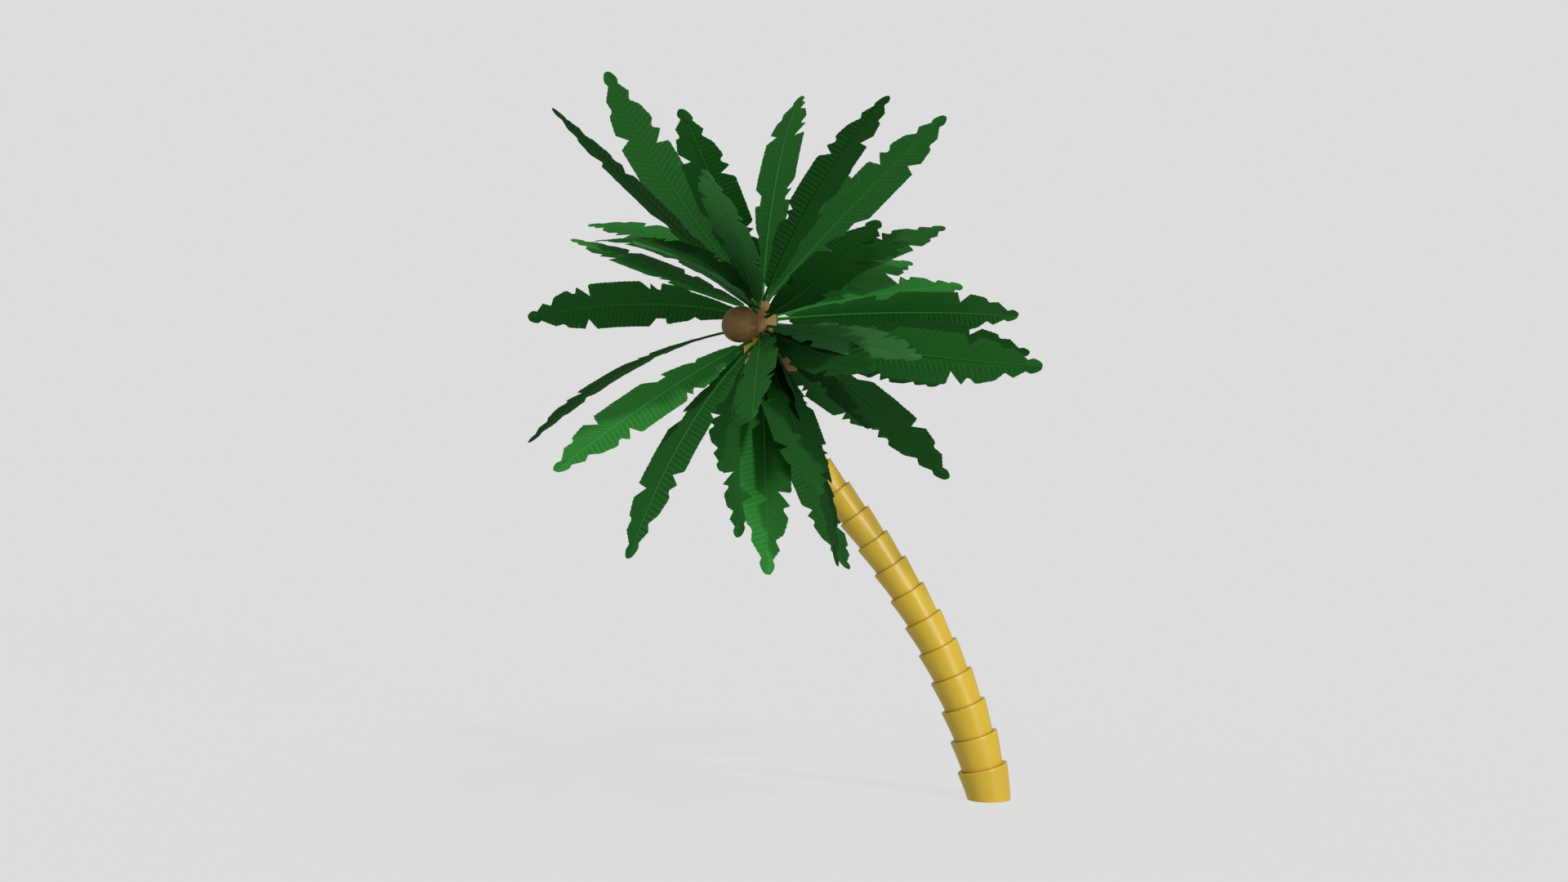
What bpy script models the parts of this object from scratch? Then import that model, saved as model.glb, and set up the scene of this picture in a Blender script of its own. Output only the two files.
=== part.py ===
"""A young dwarf coconut palm, rooted in level ground.

The trunk leans and bends to the viewer's left. It is a stack of flaring leaf-scar cups
that ends in a rounded head. The fronds start on the head and arch away all round, and
the coconuts sit against the head among the frond stems.
Units are metres and degrees. Up is +Z, the viewer stands on the -Y side, and the origin
is the middle of the flat cut under the trunk.
"""
import math
from collections import namedtuple

import bpy
from mathutils import Vector
from mathutils.bvhtree import BVHTree

# Trunk
CUP_COUNT = 17
FOOT_CUP_LENGTH = 0.271
TIP_CUP_LENGTH = 0.239
FOOT_RIM_RADIUS = 0.219
TIP_RIM_RADIUS = 0.118
TAPER_POWER = 1.55
CUP_NECK_SHARE = 0.855
LIP_HEIGHT = 0.016
LIP_BEVEL = 0.007
CUP_RECESS = 0.006
TRUNK_SIDES = 16
FOOT_LEAN = 10.0
STEEPEST_LEAN = 38.5
TIP_LEAN = -10.0
STEEPEST_AT = 3.35
AXIS_STEP = 0.02

# Head, the rounded end of the trunk that carries the fronds
HEAD_RADIUS = 0.125
HEAD_HALF_HEIGHT = 0.190
HEAD_RINGS = 8
HEAD_SINK = 0.70
HEAD_RING_START = 0.3

# Fronds
RIB_LENGTH = 2.30
STEM_WIDTH = 0.028
STEM_THICKNESS = 0.024
TIP_RIB_WIDTH = 0.010
TIP_RIB_THICKNESS = 0.009
LEAFLETS_A_SIDE = 12
BARE_STEM_SHARE = 0.10
BARE_STEM_STATIONS = 2
LEAFLET_SLANT = 57.0
LEAFLET_EDGE = 0.005
LEAFLET_GAP_SHARE = 0.14
FULL_LEAFLET_LENGTH = 0.245
SHORTEST_LEAFLET = 0.030
SHORTENING = 0.8
LEAF_CLEARANCE = 0.003
ROOT_SPREAD_UP = 1.5
ROOT_SPREAD_DOWN = 2.2
HIGHEST_ROOT = 80.0
LOWEST_ROOT = -75.0
SEAT_GRID = 15
OFF_THE_RIB = 0.08

# Leaflet length on each side of the rib: share of the rib's length, share of the full leaflet
FIRST_OUTLINE = ((0.10, 0.12), (0.21, 0.42), (0.24, 0.30), (0.26, 0.62), (0.36, 0.88),
                 (0.37, 0.61), (0.42, 0.61), (0.44, 1.0), (0.70, 1.0), (0.755, 0.50),
                 (0.765, 0.93), (0.85, 0.77), (0.88, 0.55), (0.92, 0.60), (1.0, 0.20))
SECOND_OUTLINE = ((0.10, 0.12), (0.22, 0.48), (0.24, 0.80), (0.33, 0.92), (0.37, 0.52),
                  (0.38, 0.95), (0.41, 0.58), (0.42, 1.0), (0.67, 1.0), (0.71, 0.44),
                  (0.73, 0.95), (0.77, 0.60), (0.79, 0.86), (0.87, 0.65), (0.92, 0.30),
                  (0.94, 0.50), (1.0, 0.20))

# The lobe at the rib's end: distance past the rib and half width
END_LOBE = ((0.05, 0.060), (0.11, 0.066), (0.16, 0.020))

# Coconuts
NUT_RADIUS = 0.150
NUT_HALF_LENGTH = 0.160
NUT_STALK_RADIUS = 0.022
NUT_STALK_LENGTH = 0.016
NUT_TIP_RADIUS = 0.0044
NUT_SIDES = 16
NUT_RINGS = 9

SEAT_GAP = 0.0004
SHARP_ANGLE = 32.0

# heading: 0 points at the viewer, 90 to the viewer's right, 180 away, -90 to the left
# lift and sink: the rib's rise above level where it starts and where it ends
# roll: turn of the blade about its rib
# hand: the side with FIRST_OUTLINE, 1 right or -1 left, seen from above and looking outward
Frond = namedtuple("Frond", "name heading lift sink roll hand")
FRONDS = (
    Frond("frond_top_1", -15, 35, 29, -8, 1),
    Frond("frond_top_2", -9, 24, 17, -32, 1),
    Frond("frond_top_3", 28, 48, 24, 9, -1),
    Frond("frond_top_4", 121, 46, 40, 35, 1),
    Frond("frond_top_5", 167, 75, 33, -27, -1),
    Frond("frond_top_6", -115, 47, 61, -45, -1),
    Frond("frond_top_7", -49, 35, 35, -12, 1),
    Frond("frond_top_8", 158, 33, 39, -21, 1),
    Frond("frond_upper_1", 20, 8, 18, -12, 1),
    Frond("frond_upper_2", 25, 16, 3, -10, 1),
    Frond("frond_upper_3", -21, 17, 1, -22, 1),
    Frond("frond_upper_4", -28, 26, -7, 3, 1),
    Frond("frond_upper_5", 137, 27, 14, 24, 1),
    Frond("frond_upper_6", 147, 20, 8, 26, 1),
    Frond("frond_upper_7", 135, 12, 6, 40, 1),
    Frond("frond_upper_8", -138, 36, 6, -18, 1),
    Frond("frond_upper_9", -135, 21, 15, -9, 1),
    Frond("frond_level_1", 58, -11, -5, 74, -1),
    Frond("frond_level_2", 27, -5, -11, 23, 1),
    Frond("frond_level_3", 19, -11, -8, 30, 1),
    Frond("frond_level_4", 119, 6, -1, -54, 1),
    Frond("frond_level_5", -125, 12, -8, 61, 1),
    Frond("frond_level_6", 115, -2, -7, -42, 1),
    Frond("frond_level_7", 141, -8, -11, -26, 1),
    Frond("frond_level_8", -142, 12, 0, 0, 1),
    Frond("frond_low_1", -1, -14, -20, 43, 1),
    Frond("frond_low_2", 11, -27, -30, -10, 1),
    Frond("frond_low_3", 2, -32, -58, -22, 1),
    Frond("frond_low_4", -40, -21, -29, -23, 1),
    Frond("frond_low_5", -31, -28, -56, 8, 1),
    Frond("frond_low_6", 20, -23, -69, -49, 1),
    Frond("frond_low_7", 38, -19, -35, 18, -1),
    Frond("frond_low_8", 151, -21, -15, -19, 1),
    Frond("frond_low_9", -119, -6, -38, -6, 1),
    Frond("frond_low_10", 154, -57, -41, 19, 1),
    Frond("frond_low_11", -173, -26, -59, -24, 1),
    Frond("frond_low_12", -170, -12, -44, 10, 1),
    Frond("frond_low_13", 169, -24, -40, 0, 1),
)

# Where each coconut sits round the head: heading, and rise above level seen from its middle
Coconut = namedtuple("Coconut", "name heading rise")
COCONUTS = (
    Coconut("coconut_1", -35, -6),
    Coconut("coconut_2", -178, 8),
    Coconut("coconut_3", 108, -46),
)

# Finishes: colour, roughness
BARK = ((0.60, 0.42, 0.07), 0.45)
LEAF = ((0.030, 0.145, 0.032), 0.6)
HUSK = ((0.16, 0.085, 0.035), 0.6)

UP = Vector((0.0, 0.0, 1.0))


def clear_scene():
    for item in list(bpy.data.objects):
        bpy.data.objects.remove(item, do_unlink=True)


def finish_material(name, finish):
    material = bpy.data.materials.new(name)
    material.use_nodes = True
    shader = material.node_tree.nodes["Principled BSDF"]
    shader.inputs["Base Color"].default_value = (*finish[0], 1.0)
    shader.inputs["Roughness"].default_value = finish[1]
    return material


def add_object(name, vertices, faces, material, smooth=False):
    mesh = bpy.data.meshes.new(name)
    mesh.from_pydata(vertices, [], faces)
    mesh.materials.append(material)
    if smooth:
        mesh.shade_smooth()
        mesh.set_sharp_from_angle(angle=math.radians(SHARP_ANGLE))
    item = bpy.data.objects.new(name, mesh)
    bpy.context.scene.collection.objects.link(item)
    return item


def surface_tree(vertices, faces):
    return BVHTree.FromPolygons(vertices, faces, epsilon=0.0)


# Trunk and head

def lean_at(along):
    """Lean from upright: it grows like a quarter sine to the steepest place, then eases off."""
    if along < STEEPEST_AT:
        share = math.sin(0.5 * math.pi * along / STEEPEST_AT)
        return FOOT_LEAN + (STEEPEST_LEAN - FOOT_LEAN) * share
    left = min((along - STEEPEST_AT) / (trunk_length() - STEEPEST_AT), 1.0)
    return TIP_LEAN + (STEEPEST_LEAN - TIP_LEAN) * math.cos(0.5 * math.pi * left)


def cup_ends():
    """Distances along the trunk at which the cups end, from the ground up."""
    ends = [0.0]
    for number in range(CUP_COUNT):
        share = number / (CUP_COUNT - 1)
        ends.append(ends[-1] + FOOT_CUP_LENGTH + (TIP_CUP_LENGTH - FOOT_CUP_LENGTH) * share)
    return ends


def trunk_length():
    return cup_ends()[-1]


def axis_point(along):
    """The trunk's middle line: small steps in the direction of the lean, summed."""
    steps = max(1, round(along / AXIS_STEP))
    step = along / steps
    point = Vector((0.0, 0.0, 0.0))
    for number in range(steps):
        lean = math.radians(lean_at((number + 0.5) * step))
        point += step * Vector((-math.sin(lean), 0.0, math.cos(lean)))
    return point


def rim_radius(along):
    left = 1.0 - along / trunk_length()
    return TIP_RIM_RADIUS + (FOOT_RIM_RADIUS - TIP_RIM_RADIUS) * left ** TAPER_POWER


def ring(middle, lean, radius, sides):
    """Points of a circle square to an axis that leans by the given degrees."""
    lean = math.radians(lean)
    across = Vector((math.cos(lean), 0.0, math.sin(lean)))
    deep = Vector((0.0, 1.0, 0.0))
    points = []
    for number in range(sides):
        turn = 2.0 * math.pi * number / sides
        points.append(middle + radius * (math.cos(turn) * across + math.sin(turn) * deep))
    return points


def trunk_rings():
    """Rings from the ground to the top of the last cup: neck, lip and bevel of each cup."""
    ends = cup_ends()
    foot_radius = CUP_NECK_SHARE * rim_radius(ends[1])
    rings = [ring(Vector((0.0, 0.0, 0.0)), 0.0, foot_radius, TRUNK_SIDES)]
    for low, high in zip(ends, ends[1:]):
        radius = rim_radius(high)
        levels = [(high - LIP_HEIGHT, radius), (high, radius - LIP_BEVEL)]
        if low > 0.0:
            levels.insert(0, (low - CUP_RECESS, CUP_NECK_SHARE * radius))
        for along, width in levels:
            rings.append(ring(axis_point(along), lean_at(along), width, TRUNK_SIDES))
    return rings


def head_middle():
    lean = math.radians(TIP_LEAN)
    onward = Vector((-math.sin(lean), 0.0, math.cos(lean)))
    return axis_point(trunk_length()) + HEAD_SINK * HEAD_HALF_HEIGHT * onward


def head_rings():
    """The head above the last cup: rings of an upright ellipsoid, without its lowest part."""
    rings = []
    lowest = -math.asin(HEAD_SINK)
    for number in range(HEAD_RINGS):
        rise = lowest + (0.5 * math.pi - lowest) * (number + HEAD_RING_START) / HEAD_RINGS
        middle = head_middle() + HEAD_HALF_HEIGHT * math.sin(rise) * UP
        rings.append(ring(middle, 0.0, HEAD_RADIUS * math.cos(rise), TRUNK_SIDES))
    return rings


def skin_rings(rings):
    """One closed skin over rings of equal count, with a cap at each end."""
    sides = len(rings[0])
    vertices = [point for loop in rings for point in loop]
    faces = [tuple(reversed(range(sides)))]
    for number in range(len(rings) - 1):
        base = number * sides
        for side in range(sides):
            after = (side + 1) % sides
            faces.append((base + side, base + after, base + sides + after, base + sides + side))
    last = (len(rings) - 1) * sides
    faces.append(tuple(last + side for side in range(sides)))
    return vertices, faces


def build_trunk():
    vertices, faces = skin_rings(trunk_rings() + head_rings())
    add_object("trunk", vertices, faces, finish_material("trunk_bark", BARK), smooth=True)
    return surface_tree(vertices, faces)


# Coconuts

def direction(heading, rise):
    heading, rise = math.radians(heading), math.radians(rise)
    level = Vector((math.sin(heading), -math.cos(heading), 0.0))
    return math.cos(rise) * level + math.sin(rise) * UP


def nut_profile():
    """Stalk, then the husk from the stalk end to the far end: distance outward and radius."""
    profile = [(0.0, NUT_STALK_RADIUS), (NUT_STALK_LENGTH, NUT_STALK_RADIUS)]
    for number in range(1, NUT_RINGS):
        turn = math.pi * number / NUT_RINGS
        outward = NUT_STALK_LENGTH + NUT_HALF_LENGTH * (1.0 - math.cos(turn))
        profile.append((outward, NUT_RADIUS * math.sin(turn)))
    profile.append((NUT_STALK_LENGTH + 2.0 * NUT_HALF_LENGTH, NUT_TIP_RADIUS))
    return profile


def build_coconut(nut, head, obstacles):
    outward = direction(nut.heading, nut.rise)
    across = outward.cross(UP).normalized()
    upward = across.cross(outward)
    rings = []
    for distance, radius in nut_profile():
        middle = head_middle() + (HEAD_HALF_HEIGHT + distance) * outward
        loop = []
        for number in range(NUT_SIDES):
            turn = 2.0 * math.pi * number / NUT_SIDES
            loop.append(middle + radius * (math.cos(turn) * upward + math.sin(turn) * across))
        rings.append(loop)
    vertices, faces = skin_rings(rings)
    stalk_end = head_middle() + HEAD_HALF_HEIGHT * outward
    corners = [stalk_end + NUT_STALK_RADIUS * (right * across + high * upward)
               for high in (-1, 1) for right in (-1, 1)]
    slide = slide_to_seat(vertices + grid_between(corners), outward, head)
    vertices = [point + slide for point in vertices]
    material = finish_material(nut.name + "_husk", HUSK)
    add_object(nut.name, vertices, faces, material, smooth=True)
    obstacles.append(surface_tree(vertices, faces))


def grid_between(corners):
    """A grid of points over the flat face between four corners."""
    shares = [number / (SEAT_GRID - 1) for number in range(SEAT_GRID)]
    lower = [corners[0].lerp(corners[1], share) for share in shares]
    upper = [corners[2].lerp(corners[3], share) for share in shares]
    return [low.lerp(high, share) for low, high in zip(lower, upper) for share in shares]


def slide_to_seat(samples, outward, head):
    """The slide along outward that leaves the closest sample the seat gap from the head."""
    gaps = []
    for sample in samples:
        hit = head.ray_cast(sample + outward, -outward)[0]
        if hit is not None:
            gaps.append((sample - hit).dot(outward))
    return (SEAT_GAP - min(gaps)) * outward


# Fronds

class Rib:
    """The middle rib of a frond: a circular arc in an upright plane, with the blade's turn."""

    def __init__(self, frond, head):
        self.frond = frond
        spread = ROOT_SPREAD_UP if frond.lift > 0.0 else ROOT_SPREAD_DOWN
        root_rise = max(LOWEST_ROOT, min(HIGHEST_ROOT, spread * frond.lift))
        outward = direction(frond.heading, root_rise)
        self.root = head_middle() + Vector((HEAD_RADIUS * outward.x, HEAD_RADIUS * outward.y,
                                            HEAD_HALF_HEIGHT * outward.z))
        butt = self.corners(0.0)
        samples = grid_between([butt[-1, -1], butt[1, -1], butt[-1, 1], butt[1, 1]])
        self.root += slide_to_seat(samples, self.at(0.0)[1], head)

    def at(self, share):
        """Point, forward, side and top directions at a share of the rib's length."""
        frond = self.frond
        bend = (frond.sink - frond.lift) * share
        half = math.radians(0.5 * bend)
        chord = RIB_LENGTH * share * (math.sin(half) / half if half else 1.0)
        point = self.root + chord * direction(frond.heading, frond.lift + 0.5 * bend)
        forward = direction(frond.heading, frond.lift + bend)
        level_side = direction(frond.heading - 90.0, 0.0)
        level_top = level_side.cross(forward)
        roll = math.radians(frond.roll)
        side = math.cos(roll) * level_side - math.sin(roll) * level_top
        return point, forward, side, side.cross(forward)

    def corners(self, share):
        """The rib's four corners at a station, by side (-1 or 1) and face (-1 or 1)."""
        point, _, side, top = self.at(share)
        half_width = 0.5 * mix(STEM_WIDTH, TIP_RIB_WIDTH, share)
        half_depth = 0.5 * mix(STEM_THICKNESS, TIP_RIB_THICKNESS, share)
        return {(hand, face): point + hand * half_width * side + face * half_depth * top
                for hand in (-1, 1) for face in (-1, 1)}

    def leaflet_end(self, share, hand, length):
        """Outer end of a leaflet's edge: it lies in the blade and slants forward."""
        point, forward, side, top = self.at(share)
        slant = math.radians(LEAFLET_SLANT)
        edge = point + 0.5 * hand * mix(STEM_WIDTH, TIP_RIB_WIDTH, share) * side
        end = edge + length * (math.sin(slant) * hand * side + math.cos(slant) * forward)
        return {face: end + 0.5 * face * LEAFLET_EDGE * top for face in (-1, 1)}

    def leaflet_length(self, share, hand):
        """Leaflet length at a share of the rib, between the points of that side's outline."""
        outline = FIRST_OUTLINE if hand == self.frond.hand else SECOND_OUTLINE
        for (low, low_size), (high, high_size) in zip(outline, outline[1:]):
            if share <= high:
                size = mix(low_size, high_size, (share - low) / (high - low))
                return FULL_LEAFLET_LENGTH * size
        return FULL_LEAFLET_LENGTH * outline[-1][1]

    def leaflet_corners(self, low, high, hand, length_share):
        """Eight corners of a leaflet: its edge on the rib, then its cut outer edge."""
        near, far = self.corners(low), self.corners(high)
        outer = mix(low, high, 1.0 - LEAFLET_GAP_SHARE)
        first = self.leaflet_end(low, hand, length_share * self.leaflet_length(low, hand))
        second = self.leaflet_end(outer, hand, length_share * self.leaflet_length(outer, hand))
        return [near[hand, 1], near[hand, -1], far[hand, 1], far[hand, -1],
                first[1], first[-1], second[1], second[-1]]


def mix(low, high, share):
    return low + (high - low) * share


def rib_stations():
    """Shares of the frond at which leaflets meet the rib, with the bare stem's before them."""
    bare = [BARE_STEM_SHARE * number / BARE_STEM_STATIONS for number in range(BARE_STEM_STATIONS)]
    leafy = 1.0 - BARE_STEM_SHARE
    return bare + [BARE_STEM_SHARE + leafy * number / LEAFLETS_A_SIDE
                   for number in range(LEAFLETS_A_SIDE + 1)]


# Faces of a leaflet over its eight corners, for the right-hand side
LEAFLET_FACES = ((0, 4, 6, 2), (1, 3, 7, 5), (4, 5, 7, 6), (0, 1, 5, 4), (6, 7, 3, 2))


def grown_leaflet(corners):
    """The leaflet with the clearance added on both faces, and its rib edge left off the rib."""
    rib_edge = [corner.lerp(outer, OFF_THE_RIB) for corner, outer in zip(
        corners[:4], (corners[4], corners[5], corners[6], corners[7]))]
    grown = []
    for top, under in zip((rib_edge + corners[4:])[::2], (rib_edge + corners[4:])[1::2]):
        push = LEAF_CLEARANCE * (top - under).normalized()
        grown += [top + push, under - push]
    return grown


def fitted_share(rib, low, high, hand, obstacles):
    """The largest share of a leaflet's length that touches nothing already placed."""
    share = 1.0
    while share * rib.leaflet_length(low, hand) > SHORTEST_LEAFLET:
        corners = rib.leaflet_corners(low, high, hand, share)
        tree = surface_tree(grown_leaflet(corners), LEAFLET_FACES)
        if not any(tree.overlap(other) for other in obstacles):
            return share
        share *= SHORTENING
    return 0.0


class FrondMesh:
    """One frond's vertices and faces: the rib, its leaflets on both sides and the end lobe."""

    def __init__(self, rib, obstacles, leafy=True):
        self.rib = rib
        self.vertices = []
        self.faces = []
        stations = rib_stations()
        corners = [self.add_station(share) for share in stations]
        for place, (low, high) in enumerate(zip(stations, stations[1:])):
            near, far = corners[place], corners[place + 1]
            self.faces.append((near[-1, 1], near[1, 1], far[1, 1], far[-1, 1]))
            self.faces.append((near[-1, -1], far[-1, -1], far[1, -1], near[1, -1]))
            for hand in (-1, 1):
                share = 0.0
                if leafy and place >= BARE_STEM_STATIONS:
                    share = fitted_share(rib, low, high, hand, obstacles)
                self.add_flank(near, far, low, high, hand, share)
        butt = corners[0]
        self.faces.append((butt[-1, -1], butt[1, -1], butt[1, 1], butt[-1, 1]))
        self.add_lobe(corners[-1])

    def add_vertex(self, point):
        self.vertices.append(point)
        return len(self.vertices) - 1

    def add_station(self, share):
        return {key: self.add_vertex(point) for key, point in self.rib.corners(share).items()}

    def add_flank(self, near, far, low, high, hand, share):
        """One side of the rib between two stations: a leaflet, or the bare side of the rib."""
        numbers = [near[hand, 1], near[hand, -1], far[hand, 1], far[hand, -1]]
        loops = ((0, 1, 3, 2),)
        if share > 0.0:
            corners = self.rib.leaflet_corners(low, high, hand, share)
            numbers += [self.add_vertex(point) for point in corners[4:]]
            loops = LEAFLET_FACES
        for loop in loops:
            face = [numbers[corner] for corner in loop]
            self.faces.append(tuple(face if hand > 0 else reversed(face)))

    def add_lobe(self, near):
        """The frond's end: a flat lobe straight ahead of the rib."""
        point, forward, side, top = self.rib.at(1.0)
        for ahead, half_width in END_LOBE:
            far = {(hand, face): self.add_vertex(point + ahead * forward + hand * half_width * side
                                                 + 0.5 * face * LEAFLET_EDGE * top)
                   for hand in (-1, 1) for face in (-1, 1)}
            self.faces.append((near[-1, 1], near[1, 1], far[1, 1], far[-1, 1]))
            self.faces.append((near[-1, -1], far[-1, -1], far[1, -1], near[1, -1]))
            self.faces.append((near[1, 1], near[1, -1], far[1, -1], far[1, 1]))
            self.faces.append((near[-1, 1], far[-1, 1], far[-1, -1], near[-1, -1]))
            near = far
        self.faces.append((near[-1, 1], near[1, 1], near[1, -1], near[-1, -1]))


def build_fronds(head, obstacles):
    """Fronds in the order of the list: a leaflet that would touch another piece is shortened."""
    ribs = [Rib(frond, head) for frond in FRONDS]
    bare = [FrondMesh(rib, (), leafy=False) for rib in ribs]
    stems = [surface_tree(mesh.vertices, mesh.faces) for mesh in bare]
    for place, rib in enumerate(ribs):
        mesh = FrondMesh(rib, obstacles + stems[:place] + stems[place + 1:])
        name = rib.frond.name
        add_object(name, mesh.vertices, mesh.faces, finish_material(name + "_leaf", LEAF))
        obstacles.append(surface_tree(mesh.vertices, mesh.faces))


def build_palm():
    clear_scene()
    head = build_trunk()
    obstacles = [head]
    for nut in COCONUTS:
        build_coconut(nut, head, obstacles)
    build_fronds(head, obstacles)


build_palm()
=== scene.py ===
"""Young coconut palm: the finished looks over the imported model.

The trunk is a curved stack of flaring cups of golden bark, the head a ball of brown fibre,
the coconuts sit against it, and each frond is a rib with folded leaflets on both sides.
Units are metres and degrees. Up is +Z, the viewer stands on the -Y side, and the origin is
the middle of the level cut under the trunk.
"""
from collections import namedtuple

import bpy
import numpy as np
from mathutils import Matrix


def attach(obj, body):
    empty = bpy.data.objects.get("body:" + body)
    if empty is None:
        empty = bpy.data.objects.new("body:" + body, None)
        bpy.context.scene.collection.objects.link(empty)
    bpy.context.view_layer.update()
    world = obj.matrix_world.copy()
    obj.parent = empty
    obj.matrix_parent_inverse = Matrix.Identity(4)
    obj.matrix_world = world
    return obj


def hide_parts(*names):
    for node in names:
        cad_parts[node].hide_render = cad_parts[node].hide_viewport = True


bl_info = {
    "name": "Young coconut palm",
    "version": (1, 0, 0),
    "blender": (4, 5, 0),
    "location": "3D View > Sidebar > Palm",
    "description": "Bark, fibre, coconuts and fine leaflets for the packed palm tree",
    "category": "Add Mesh",
}

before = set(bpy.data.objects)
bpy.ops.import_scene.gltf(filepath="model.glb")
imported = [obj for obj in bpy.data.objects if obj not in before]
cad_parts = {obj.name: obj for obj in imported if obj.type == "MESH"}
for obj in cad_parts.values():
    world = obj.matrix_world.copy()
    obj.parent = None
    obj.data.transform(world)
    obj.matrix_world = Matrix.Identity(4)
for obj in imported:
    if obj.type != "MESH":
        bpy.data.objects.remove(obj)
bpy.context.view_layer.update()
BODY = "root"

# Trunk, as in the part's source
CUP_COUNT = 17
FOOT_CUP_LENGTH = 0.271
TIP_CUP_LENGTH = 0.239
FOOT_RIM_RADIUS = 0.219
TIP_RIM_RADIUS = 0.118
TAPER_POWER = 1.55
CUP_NECK_SHARE = 0.855
LIP_BEVEL = 0.007
CUP_RECESS = 0.006
FOOT_LEAN = 10.0
STEEPEST_LEAN = 38.5
TIP_LEAN = -10.0
STEEPEST_AT = 3.35
AXIS_STEPS = 800

# Trunk detail
TRUNK_SIDES = 168
FLARE_ROWS = 12
LIP_ROWS = 5
FLARE_POWER = 1.12
LEVEL_FOOT_LENGTH = 0.25
COARSE_FIBRES = 13
COARSE_SHARE = 0.55
COARSE_SWING = 2.3
COARSE_WAVES = 3.1
FINE_FIBRES = 23
FINE_SHARE = 0.45
FINE_SWING = 1.7
FINE_WAVES = 4.7
CUP_PHASE = 2.4
RELIEF_END = 0.96
# The painted shade in each seam fades out over this share of a cup, from its neck
SEAM_SHADE_SHARE = 0.06
RIM_WAVES = 4
RIM_WAVE = 0.0016
RIM_PHASE = 1.3

# Head
HEAD_RADIUS = 0.125
HEAD_HALF_HEIGHT = 0.190
HEAD_SINK = 0.70
HEAD_SIDES = 96
HEAD_ROWS = 40
HEAD_FIBRES = 26
HEAD_RELIEF = 0.0035
HEAD_SWING = 0.5
HEAD_WAVES = 6.0

# Fronds, as in the part's source, but with leaflets from nearer the head and shorter ones kept
RIB_LENGTH = 2.30
STEM_WIDTH = 0.028
STEM_THICKNESS = 0.024
TIP_RIB_WIDTH = 0.010
TIP_RIB_THICKNESS = 0.009
BARE_STEM_SHARE = 0.06
LEAFLET_SLANT = 57.0
FULL_LEAFLET_LENGTH = 0.245
SHORTEST_LEAFLET = 0.015
ROOT_SPREAD_UP = 1.5
ROOT_SPREAD_DOWN = 2.2
HIGHEST_ROOT = 80.0
LOWEST_ROOT = -75.0

# Leaflet length on each side of the rib: share of the rib's length, share of the full
# leaflet. Before the share 0.26 the fine leaflets are longer than the source's broad ones.
FIRST_OUTLINE = ((0.06, 0.16), (0.12, 0.36), (0.21, 0.55), (0.24, 0.42), (0.26, 0.62),
                 (0.36, 0.88), (0.37, 0.61), (0.42, 0.61), (0.44, 1.0), (0.70, 1.0),
                 (0.755, 0.50), (0.765, 0.93), (0.85, 0.77), (0.88, 0.55), (0.92, 0.60),
                 (1.0, 0.20))
SECOND_OUTLINE = ((0.06, 0.16), (0.12, 0.36), (0.22, 0.62), (0.24, 0.80), (0.33, 0.92),
                  (0.37, 0.52), (0.38, 0.95), (0.41, 0.58), (0.42, 1.0), (0.67, 1.0),
                  (0.71, 0.44), (0.73, 0.95), (0.77, 0.60), (0.79, 0.86), (0.87, 0.65),
                  (0.92, 0.30), (0.94, 0.50), (1.0, 0.20))

# Leaflet detail: rows from the rib to the tip and how much of the fold each row has, then
# columns across and the height of each in the fold
LEAFLET_ROWS = (0.0, 0.10, 0.40, 0.70, 0.93, 1.0)
FOLD_SHARES = (0.2, 1.0, 1.0, 0.9, 0.6, 0.2)
LEAFLET_COLUMNS = (0.0, 0.5, 1.0)
FOLD_HEIGHTS = (-0.4, 0.6, -0.4)
LEAFLET_GAP_SHARE = 0.01
LEAFLET_THICKNESS = 0.002
LENGTH_VARIATION = 0.012
DROOP_VARIATION = 0.0015
TUCK_SHARE = 0.6
GRAIN_SPREAD = 100.0

# Room round the limbs: a leaflet is tried at these shares of its length, and ends before
# the first at which its middle line would be in the trunk, the head, a coconut or a rib
LENGTH_TRIES = 8
LIMB_MARGIN = 0.012
TRUNK_BALLS = 110
RIB_BALLS = 76
HEAD_BALL_RISE = 0.065

# The lobe at the frond's end: distance past the rib, half width
LOBE_OUTLINE = ((-0.04, 0.010), (-0.015, 0.040), (0.01, 0.043), (0.035, 0.050), (0.07, 0.062),
                (0.10, 0.056), (0.13, 0.043), (0.152, 0.028), (0.16, 0.014))
LOBE_COLUMNS = (-1.0, -0.5, 0.0, 0.5, 1.0)
LOBE_FOLD = 0.006

# Rib detail
RIB_ROWS = 34
RIB_SIDES = 10
RIB_ROW_POWER = 1.2
RIB_BASE_SWELL = 0.35
RIB_BASE_LENGTH = 0.03
RIB_GRAIN_RADIUS = 0.05

# Coconuts
NUT_RADIUS = 0.150
NUT_HALF_LENGTH = 0.160
NUT_STALK_RADIUS = 0.022
NUT_STALK_LENGTH = 0.016
NUT_SIDES = 72
NUT_ROWS = 44
NUT_RIDGES = 3
NUT_RIDGE = 0.016
CALYX_LOBES = 6
CALYX_ROWS = 6
CALYX_COLUMNS = 7
CALYX_START = 0.3
CALYX_REACH = 27.0
CALYX_OVERLAP = 1.15
CALYX_ROUNDING = 0.35
CALYX_LIFT = 0.004
CALYX_STEP = 0.0005
CALYX_THICKNESS = 0.003

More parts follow.
